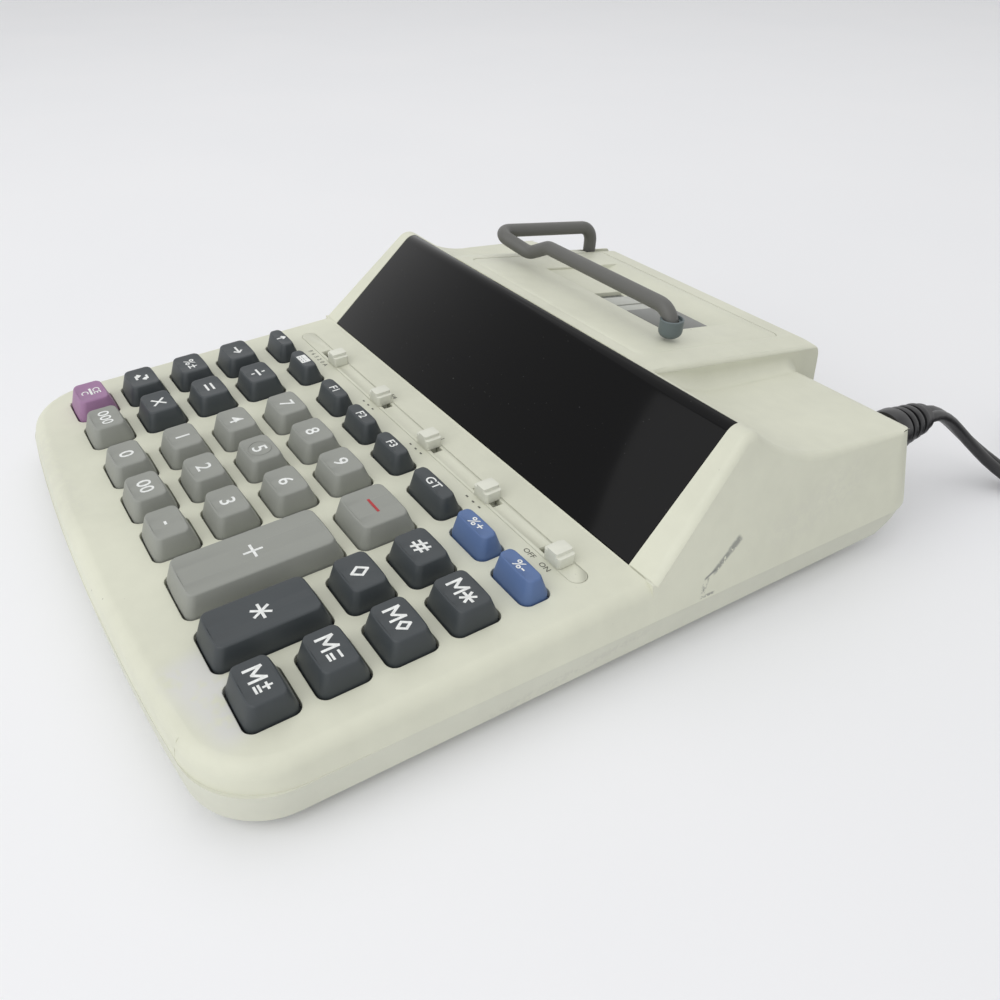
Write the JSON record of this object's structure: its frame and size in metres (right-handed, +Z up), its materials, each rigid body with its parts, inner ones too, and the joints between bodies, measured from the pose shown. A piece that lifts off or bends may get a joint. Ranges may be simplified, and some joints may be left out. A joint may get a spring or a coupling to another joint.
{
  "type": "printing calculator",
  "caption": "Desktop printing calculator with a sloped key deck, leaning dark display, printer hump with paper slot, swing-up paper arm and a coiled mains lead.",
  "frame": {"origin": "on the table, below the middle of the case without its lead", "axes": "+X right, +Y from the keys to the rear, +Z up"},
  "size_m": [0.2748, 0.3956, 0.0609],
  "materials": {
    "case": "fine satin moulding, warm cream",
    "window": "polished dark acrylic",
    "steel": "bare sheet steel",
    "dark_board": "dull dark moulding",
    "board": "green circuit board",
    "mat": "pale silicone rubber",
    "rubber": "dull black rubber",
    "lead": "satin black flexible plastic",
    "arm": "satin grey plastic",
    "roller": "dull black rubber",
    "ink": "inked porous rubber",
    "key_light": "satin light grey",
    "key_dark": "satin dark grey",
    "key_purple": "satin purple",
    "key_blue": "satin blue",
    "knob": "fine satin moulding, warm cream"
  },
  "bodies": {
    "case": {"upper_case": "case", "lower_case": "case", "display_window": "window", "switch_panel": "case", "printer_cover": "case", "printer_frame": "steel", "display_module": "dark_board", "main_board": "board", "key_mat": "mat", "case_screws": "steel", "rubber_feet": "rubber", "strain_relief": "lead", "mains_lead": "lead", "lead_coil": "lead", "mains_plug": "lead"},
    "arm": {"paper_arm": "arm"},
    "feed": {"feed_roller": "roller"},
    "ink": {"ink_roller": "ink"},
    "knob_decimal_body": {"knob_decimal": "knob"},
    "knob_rounding_body": {"knob_rounding": "knob"},
    "knob_total_body": {"knob_total": "knob"},
    "knob_print_body": {"knob_print": "knob"},
    "knob_power_body": {"knob_power": "knob"},
    "key_000_body": {"key_000": "key_light"},
    "key_0_body": {"key_0": "key_light"},
    "key_00_body": {"key_00": "key_light"},
    "key_point_body": {"key_point": "key_light"},
    "key_plus_body": {"key_plus": "key_light"},
    "key_1_body": {"key_1": "key_light"},
    "key_2_body": {"key_2": "key_light"},
    "key_3_body": {"key_3": "key_light"},
    "key_4_body": {"key_4": "key_light"},
    "key_5_body": {"key_5": "key_light"},
    "key_6_body": {"key_6": "key_light"},
    "key_7_body": {"key_7": "key_light"},
    "key_8_body": {"key_8": "key_light"},
    "key_9_body": {"key_9": "key_light"},
    "key_minus_body": {"key_minus": "key_light"},
    "key_total_body": {"key_total": "key_dark"},
    "key_memory_plus_body": {"key_memory_plus": "key_dark"},
    "key_sign_body": {"key_sign": "key_dark"},
    "key_times_body": {"key_times": "key_dark"},
    "key_memory_minus_body": {"key_memory_minus": "key_dark"},
    "key_percent_body": {"key_percent": "key_dark"},
    "key_equals_body": {"key_equals": "key_dark"},
    "key_subtotal_body": {"key_subtotal": "key_dark"},
    "key_memory_subtotal_body": {"key_memory_subtotal": "key_dark"},
    "key_shift_body": {"key_shift": "key_dark"},
    "key_divide_body": {"key_divide": "key_dark"},
    "key_count_body": {"key_count": "key_dark"},
    "key_memory_total_body": {"key_memory_total": "key_dark"},
    "key_feed_body": {"key_feed": "key_dark"},
    "key_calendar_body": {"key_calendar": "key_dark"},
    "key_f1_body": {"key_f1": "key_dark"},
    "key_f2_body": {"key_f2": "key_dark"},
    "key_f3_body": {"key_f3": "key_dark"},
    "key_grand_total_body": {"key_grand_total": "key_dark"},
    "key_clear_body": {"key_clear": "key_purple"},
    "key_tax_plus_body": {"key_tax_plus": "key_blue"},
    "key_tax_minus_body": {"key_tax_minus": "key_blue"}
  },
  "joints": [
    {"name": "knob_decimal_slide", "type": "slide", "parent": "case", "child": "knob_decimal_body", "axis": [1, 0, 0], "range_m": [-0.008, 0]},
    {"name": "knob_rounding_slide", "type": "slide", "parent": "case", "child": "knob_rounding_body", "axis": [1, 0, 0], "range_m": [-0.003, 0.003]},
    {"name": "knob_total_slide", "type": "slide", "parent": "case", "child": "knob_total_body", "axis": [1, 0, 0], "range_m": [-0.003, 0.003]},
    {"name": "knob_print_slide", "type": "slide", "parent": "case", "child": "knob_print_body", "axis": [1, 0, 0], "range_m": [-0.003, 0.003]},
    {"name": "knob_power_slide", "type": "slide", "parent": "case", "child": "knob_power_body", "axis": [1, 0, 0], "range_m": [-0.004, 0]},
    {"name": "arm_swing", "type": "hinge", "parent": "case", "child": "arm", "pos_m": [-0.0475, 0.099, 0.0365], "axis": [-1, 0, 0], "range_deg": [0, 95]},
    {"name": "feed_turn", "type": "hinge", "parent": "case", "child": "feed", "pos_m": [-0.00625, 0.072, 0.0345], "axis": [1, 0, 0], "continuous": true},
    {"name": "ink_turn", "type": "hinge", "parent": "case", "child": "ink", "pos_m": [-0.00625, 0.0605, 0.035], "axis": [1, 0, 0], "continuous": true},
    {"name": "key_000_press", "type": "slide", "parent": "case", "child": "key_000_body", "axis": [0, 0.0349, -0.9994], "range_m": [0, 0.0025], "stiffness_N_per_m": 160, "springref_m": -0.002},
    {"name": "key_0_press", "type": "slide", "parent": "case", "child": "key_0_body", "axis": [0, 0.0349, -0.9994], "range_m": [0, 0.0025], "stiffness_N_per_m": 160, "springref_m": -0.002},
    {"name": "key_00_press", "type": "slide", "parent": "case", "child": "key_00_body", "axis": [0, 0.0349, -0.9994], "range_m": [0, 0.0025], "stiffness_N_per_m": 160, "springref_m": -0.002},
    {"name": "key_point_press", "type": "slide", "parent": "case", "child": "key_point_body", "axis": [0, 0.0349, -0.9994], "range_m": [0, 0.0025], "stiffness_N_per_m": 160, "springref_m": -0.002},
    {"name": "key_plus_press", "type": "slide", "parent": "case", "child": "key_plus_body", "axis": [0, 0.0349, -0.9994], "range_m": [0, 0.0025], "stiffness_N_per_m": 160, "springref_m": -0.002},
    {"name": "key_1_press", "type": "slide", "parent": "case", "child": "key_1_body", "axis": [0, 0.0349, -0.9994], "range_m": [0, 0.0025], "stiffness_N_per_m": 160, "springref_m": -0.002},
    {"name": "key_2_press", "type": "slide", "parent": "case", "child": "key_2_body", "axis": [0, 0.0349, -0.9994], "range_m": [0, 0.0025], "stiffness_N_per_m": 160, "springref_m": -0.002},
    {"name": "key_3_press", "type": "slide", "parent": "case", "child": "key_3_body", "axis": [0, 0.0349, -0.9994], "range_m": [0, 0.0025], "stiffness_N_per_m": 160, "springref_m": -0.002},
    {"name": "key_4_press", "type": "slide", "parent": "case", "child": "key_4_body", "axis": [0, 0.0349, -0.9994], "range_m": [0, 0.0025], "stiffness_N_per_m": 160, "springref_m": -0.002},
    {"name": "key_5_press", "type": "slide", "parent": "case", "child": "key_5_body", "axis": [0, 0.0349, -0.9994], "range_m": [0, 0.0025], "stiffness_N_per_m": 160, "springref_m": -0.002},
    {"name": "key_6_press", "type": "slide", "parent": "case", "child": "key_6_body", "axis": [0, 0.0349, -0.9994], "range_m": [0, 0.0025], "stiffness_N_per_m": 160, "springref_m": -0.002},
    {"name": "key_7_press", "type": "slide", "parent": "case", "child": "key_7_body", "axis": [0, 0.0349, -0.9994], "range_m": [0, 0.0025], "stiffness_N_per_m": 160, "springref_m": -0.002},
    {"name": "key_8_press", "type": "slide", "parent": "case", "child": "key_8_body", "axis": [0, 0.0349, -0.9994], "range_m": [0, 0.0025], "stiffness_N_per_m": 160, "springref_m": -0.002},
    {"name": "key_9_press", "type": "slide", "parent": "case", "child": "key_9_body", "axis": [0, 0.0349, -0.9994], "range_m": [0, 0.0025], "stiffness_N_per_m": 160, "springref_m": -0.002},
    {"name": "key_minus_press", "type": "slide", "parent": "case", "child": "key_minus_body", "axis": [0, 0.0349, -0.9994], "range_m": [0, 0.0025], "stiffness_N_per_m": 160, "springref_m": -0.002},
    {"name": "key_total_press", "type": "slide", "parent": "case", "child": "key_total_body", "axis": [0, 0.0349, -0.9994], "range_m": [0, 0.0025], "stiffness_N_per_m": 160, "springref_m": -0.002},
    {"name": "key_memory_plus_press", "type": "slide", "parent": "case", "child": "key_memory_plus_body", "axis": [0, 0.0349, -0.9994], "range_m": [0, 0.0025], "stiffness_N_per_m": 160, "springref_m": -0.002},
    {"name": "key_sign_press", "type": "slide", "parent": "case", "child": "key_sign_body", "axis": [0, 0.0349, -0.9994], "range_m": [0, 0.0025], "stiffness_N_per_m": 160, "springref_m": -0.002},
    {"name": "key_times_press", "type": "slide", "parent": "case", "child": "key_times_body", "axis": [0, 0.0349, -0.9994], "range_m": [0, 0.0025], "stiffness_N_per_m": 160, "springref_m": -0.002},
    {"name": "key_memory_minus_press", "type": "slide", "parent": "case", "child": "key_memory_minus_body", "axis": [0, 0.0349, -0.9994], "range_m": [0, 0.0025], "stiffness_N_per_m": 160, "springref_m": -0.002},
    {"name": "key_percent_press", "type": "slide", "parent": "case", "child": "key_percent_body", "axis": [0, 0.0349, -0.9994], "range_m": [0, 0.0025], "stiffness_N_per_m": 160, "springref_m": -0.002},
    {"name": "key_equals_press", "type": "slide", "parent": "case", "child": "key_equals_body", "axis": [0, 0.0349, -0.9994], "range_m": [0, 0.0025], "stiffness_N_per_m": 160, "springref_m": -0.002},
    {"name": "key_subtotal_press", "type": "slide", "parent": "case", "child": "key_subtotal_body", "axis": [0, 0.0349, -0.9994], "range_m": [0, 0.0025], "stiffness_N_per_m": 160, "springref_m": -0.002},
    {"name": "key_memory_subtotal_press", "type": "slide", "parent": "case", "child": "key_memory_subtotal_body", "axis": [0, 0.0349, -0.9994], "range_m": [0, 0.0025], "stiffness_N_per_m": 160, "springref_m": -0.002},
    {"name": "key_shift_press", "type": "slide", "parent": "case", "child": "key_shift_body", "axis": [0, 0.0349, -0.9994], "range_m": [0, 0.0025], "stiffness_N_per_m": 160, "springref_m": -0.002},
    {"name": "key_divide_press", "type": "slide", "parent": "case", "child": "key_divide_body", "axis": [0, 0.0349, -0.9994], "range_m": [0, 0.0025], "stiffness_N_per_m": 160, "springref_m": -0.002},
    {"name": "key_count_press", "type": "slide", "parent": "case", "child": "key_count_body", "axis": [0, 0.0349, -0.9994], "range_m": [0, 0.0025], "stiffness_N_per_m": 160, "springref_m": -0.002},
    {"name": "key_memory_total_press", "type": "slide", "parent": "case", "child": "key_memory_total_body", "axis": [0, 0.0349, -0.9994], "range_m": [0, 0.0025], "stiffness_N_per_m": 160, "springref_m": -0.002},
    {"name": "key_feed_press", "type": "slide", "parent": "case", "child": "key_feed_body", "axis": [0, 0.0349, -0.9994], "range_m": [0, 0.0025], "stiffness_N_per_m": 160, "springref_m": -0.002},
    {"name": "key_calendar_press", "type": "slide", "parent": "case", "child": "key_calendar_body", "axis": [0, 0.0349, -0.9994], "range_m": [0, 0.0025], "stiffness_N_per_m": 160, "springref_m": -0.002},
    {"name": "key_f1_press", "type": "slide", "parent": "case", "child": "key_f1_body", "axis": [0, 0.0349, -0.9994], "range_m": [0, 0.0025], "stiffness_N_per_m": 160, "springref_m": -0.002},
    {"name": "key_f2_press", "type": "slide", "parent": "case", "child": "key_f2_body", "axis": [0, 0.0349, -0.9994], "range_m": [0, 0.0025], "stiffness_N_per_m": 160, "springref_m": -0.002},
    {"name": "key_f3_press", "type": "slide", "parent": "case", "child": "key_f3_body", "axis": [0, 0.0349, -0.9994], "range_m": [0, 0.0025], "stiffness_N_per_m": 160, "springref_m": -0.002},
    {"name": "key_grand_total_press", "type": "slide", "parent": "case", "child": "key_grand_total_body", "axis": [0, 0.0349, -0.9994], "range_m": [0, 0.0025], "stiffness_N_per_m": 160, "springref_m": -0.002},
    {"name": "key_clear_press", "type": "slide", "parent": "case", "child": "key_clear_body", "axis": [0, 0.0349, -0.9994], "range_m": [0, 0.0025], "stiffness_N_per_m": 160, "springref_m": -0.002},
    {"name": "key_tax_plus_press", "type": "slide", "parent": "case", "child": "key_tax_plus_body", "axis": [0, 0.0349, -0.9994], "range_m": [0, 0.0025], "stiffness_N_per_m": 160, "springref_m": -0.002},
    {"name": "key_tax_minus_press", "type": "slide", "parent": "case", "child": "key_tax_minus_body", "axis": [0, 0.0349, -0.9994], "range_m": [0, 0.0025], "stiffness_N_per_m": 160, "springref_m": -0.002}
  ],
  "couplings": [
    {"joint": "ink_turn", "follows": "feed_turn", "ratio": -1.3333}
  ]
}
